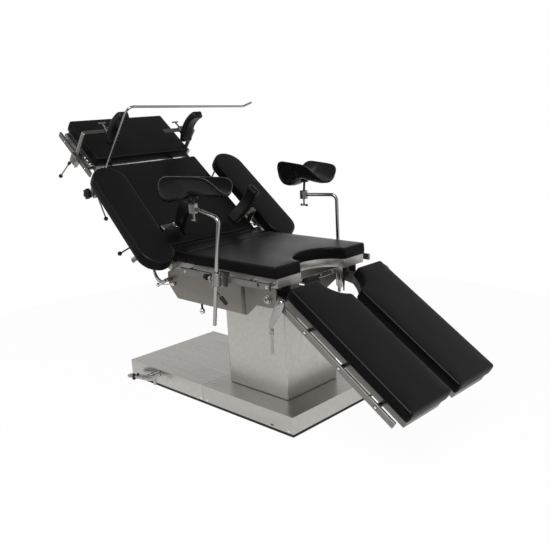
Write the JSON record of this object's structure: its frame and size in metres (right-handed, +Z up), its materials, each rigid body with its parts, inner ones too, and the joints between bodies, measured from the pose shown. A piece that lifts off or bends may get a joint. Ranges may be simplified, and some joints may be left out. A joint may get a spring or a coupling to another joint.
{
  "type": "operating table",
  "caption": "Operating table with a lifting and tilting column, hinged back, head and leg sections, a kidney bridge, arm boards, body supports, leg crutches and a screen rod on side rails.",
  "frame": {"origin": "middle of the base's underside, on the floor", "axes": "+X along the table towards the foot end, +Y across it away from the brake pedal's side, +Z up"},
  "size_m": [1.9021, 0.8693, 1.231],
  "materials": {
    "brushed_stainless": "satin",
    "side_plate_steel": "satin",
    "machined_steel": "satin",
    "polished_steel": "polished",
    "black_upholstery": "satin",
    "black_plastic": "satin",
    "black_paint": "matte"
  },
  "bodies": {
    "back": {"back_frame": "brushed_stainless", "back_pad": "black_upholstery", "far_arm_clamp": "brushed_stainless", "far_back_rail": "brushed_stainless", "far_side_bracket": "brushed_stainless", "near_arm_clamp": "brushed_stainless", "near_back_rail": "brushed_stainless", "near_side_bracket": "brushed_stainless", "screen_clamp": "brushed_stainless"},
    "base": {"base_cover_foot": "brushed_stainless", "base_cover_head": "brushed_stainless", "floor_plate": "black_paint", "inner_column": "brushed_stainless", "lift_cylinder": "machined_steel"},
    "bridge_lever": {"bridge_lever": "black_plastic"},
    "cross_tilt": {"tilt_cross": "machined_steel"},
    "far_arm": {"far_arm_carrier": "brushed_stainless", "far_arm_pad": "black_upholstery"},
    "far_crutch": {"far_crutch_rod": "polished_steel"},
    "far_crutch_slide": {"far_crutch_clamp": "brushed_stainless"},
    "far_leg": {"far_leg_frame": "brushed_stainless", "far_leg_pad": "black_upholstery"},
    "far_leg_lock": {"far_leg_lock": "side_plate_steel"},
    "far_saddle": {"far_crutch_pad": "black_upholstery", "far_crutch_socket": "black_plastic"},
    "far_shoulder": {"far_shoulder_bracket": "brushed_stainless", "far_shoulder_pad": "black_upholstery"},
    "far_side_pad": {"far_side_pad": "black_upholstery"},
    "head": {"head_frame": "brushed_stainless", "head_pad": "black_upholstery"},
    "kidney": {"kidney_carrier": "brushed_stainless", "kidney_pad": "black_upholstery"},
    "lift": {"column_cover": "brushed_stainless", "column_head": "machined_steel", "lift_ram": "polished_steel"},
    "long_tilt": {"far_seat_rail": "brushed_stainless", "far_side_plate": "side_plate_steel", "near_seat_rail": "brushed_stainless", "near_side_plate": "side_plate_steel", "notch_band": "polished_steel", "seat_frame": "brushed_stainless", "seat_pad": "black_upholstery"},
    "near_arm": {"near_arm_carrier": "brushed_stainless", "near_arm_pad": "black_upholstery"},
    "near_crutch": {"near_crutch_rod": "polished_steel"},
    "near_crutch_slide": {"near_crutch_clamp": "brushed_stainless"},
    "near_leg": {"near_leg_frame": "brushed_stainless", "near_leg_pad": "black_upholstery"},
    "near_leg_lock": {"near_leg_lock": "side_plate_steel"},
    "near_saddle": {"near_crutch_pad": "black_upholstery", "near_crutch_socket": "black_plastic"},
    "near_shoulder": {"near_shoulder_bracket": "brushed_stainless", "near_shoulder_pad": "black_upholstery"},
    "near_side_pad": {"near_side_pad": "black_upholstery"},
    "pedal": {"brake_pedal": "brushed_stainless"},
    "pull_knob": {"pull_knob": "black_plastic"},
    "release_lever": {"release_lever": "polished_steel"},
    "screen": {"screen_rod": "polished_steel"},
    "star_knob": {"star_knob": "black_plastic"}
  },
  "joints": [
    {"name": "lift", "type": "slide", "parent": "base", "child": "lift", "axis": [0, 0, 1], "range_m": [0, 0.25]},
    {"name": "lateral_tilt", "type": "hinge", "parent": "lift", "child": "cross_tilt", "pos_m": [0.228, 0, 0.512], "axis": [1, 0, 0], "range_deg": [-15, 15]},
    {"name": "long_tilt", "type": "hinge", "parent": "cross_tilt", "child": "long_tilt", "pos_m": [0.228, 0, 0.512], "axis": [0, 1, 0], "range_deg": [-25, 12]},
    {"name": "bridge_lever", "type": "hinge", "parent": "long_tilt", "child": "bridge_lever", "pos_m": [-0.178, -0.235, 0.512], "axis": [0, -1, 0], "range_deg": [0, 60]},
    {"name": "kidney_bridge", "type": "slide", "parent": "long_tilt", "child": "kidney", "axis": [0, 0, 1], "range_m": [0, 0.05]},
    {"name": "release_lever", "type": "hinge", "parent": "long_tilt", "child": "release_lever", "pos_m": [-0.154, -0.235, 0.494], "axis": [0, 1, 0], "range_deg": [-15, 0]},
    {"name": "pull_knob", "type": "slide", "parent": "long_tilt", "child": "pull_knob", "axis": [0, 0, 1], "range_m": [-0.008, 0], "stiffness_N_per_m": 200, "springref_m": 0.002},
    {"name": "back", "type": "hinge", "parent": "long_tilt", "child": "back", "pos_m": [-0.1514, 0, 0.644], "axis": [0, -1, 0], "range_deg": [-36, 45]},
    {"name": "head", "type": "hinge", "parent": "back", "child": "head", "pos_m": [-0.61665, 0, 0.94196], "axis": [0, -1, 0], "range_deg": [-40, 90]},
    {"name": "screen", "type": "hinge", "parent": "back", "child": "screen", "pos_m": [-0.52478, -0.285, 0.94722], "axis": [0.6304, 0, 0.7763], "range_deg": [0, 90]},
    {"name": "star_knob", "type": "hinge", "parent": "back", "child": "star_knob", "pos_m": [-0.59224, -0.337, 0.86416], "axis": [0, 1, 0], "continuous": true},
    {"name": "brake_pedal", "type": "hinge", "parent": "base", "child": "pedal", "pos_m": [-0.35, -0.3, 0.046], "axis": [0, 1, 0], "range_deg": [-4, 10]},
    {"name": "near_leg", "type": "hinge", "parent": "long_tilt", "child": "near_leg", "pos_m": [0.4, 0, 0.512], "axis": [0, 1, 0], "range_deg": [-33.5, 16]},
    {"name": "near_leg_lock", "type": "hinge", "parent": "near_leg", "child": "near_leg_lock", "pos_m": [0.52814, -0.295, 0.5132], "axis": [0, 1, 0], "range_deg": [-40, 40]},
    {"name": "near_arm", "type": "hinge", "parent": "back", "child": "near_arm", "pos_m": [-0.1316, -0.354, 0.62792], "axis": [0.6304, 0, 0.7763], "range_deg": [0, 90]},
    {"name": "near_shoulder", "type": "slide", "parent": "head", "child": "near_shoulder", "axis": [-0.7763, 0, 0.6304], "range_m": [-0.03, 0.08]},
    {"name": "near_side_pad", "type": "hinge", "parent": "back", "child": "near_side_pad", "pos_m": [-0.16321, -0.1982, 0.73733], "axis": [0.7763, 0, -0.6304], "range_deg": [0, 20]},
    {"name": "near_crutch_slide", "type": "slide", "parent": "long_tilt", "child": "near_crutch_slide", "axis": [1, 0, 0], "range_m": [-0.06, 0.06]},
    {"name": "near_crutch", "type": "hinge", "parent": "near_crutch_slide", "child": "near_crutch", "pos_m": [0.2235, -0.325, 0.585], "axis": [0.1564, 0, 0.9877], "range_deg": [0, 100]},
    {"name": "near_saddle", "type": "hinge", "parent": "near_crutch", "child": "near_saddle", "pos_m": [0.11257, -0.31794, 0.84235], "axis": [-0.9846, 0.0471, 0.1683], "range_deg": [-25, 25]},
    {"name": "far_leg", "type": "hinge", "parent": "long_tilt", "child": "far_leg", "pos_m": [0.4, 0, 0.512], "axis": [0, 1, 0], "range_deg": [-33.5, 16]},
    {"name": "far_leg_lock", "type": "hinge", "parent": "far_leg", "child": "far_leg_lock", "pos_m": [0.52814, 0.295, 0.5132], "axis": [0, 1, 0], "range_deg": [-40, 40]},
    {"name": "far_arm", "type": "hinge", "parent": "back", "child": "far_arm", "pos_m": [-0.1316, 0.3585, 0.62792], "axis": [-0.6304, 0, -0.7763], "range_deg": [0, 90]},
    {"name": "far_shoulder", "type": "slide", "parent": "head", "child": "far_shoulder", "axis": [-0.7763, 0, 0.6304], "range_m": [0, 0.11]},
    {"name": "far_side_pad", "type": "hinge", "parent": "back", "child": "far_side_pad", "pos_m": [-0.16321, 0.1982, 0.73733], "axis": [0.7763, 0, -0.6304], "range_deg": [-20, 0]},
    {"name": "far_crutch_slide", "type": "slide", "parent": "long_tilt", "child": "far_crutch_slide", "axis": [1, 0, 0], "range_m": [-0.08, 0.02]},
    {"name": "far_crutch", "type": "hinge", "parent": "far_crutch_slide", "child": "far_crutch", "pos_m": [0.278, 0.325, 0.585], "axis": [0, 0, -1], "range_deg": [0, 100]},
    {"name": "far_saddle", "type": "hinge", "parent": "far_crutch", "child": "far_saddle", "pos_m": [0.13617, 0.27616, 0.82], "axis": [-0.9455, -0.3256, 0], "range_deg": [-25, 25]}
  ],
  "couplings": [
    {"joint": "bridge_lever", "follows": "kidney_bridge", "rad_per_m": 20.944}
  ]
}
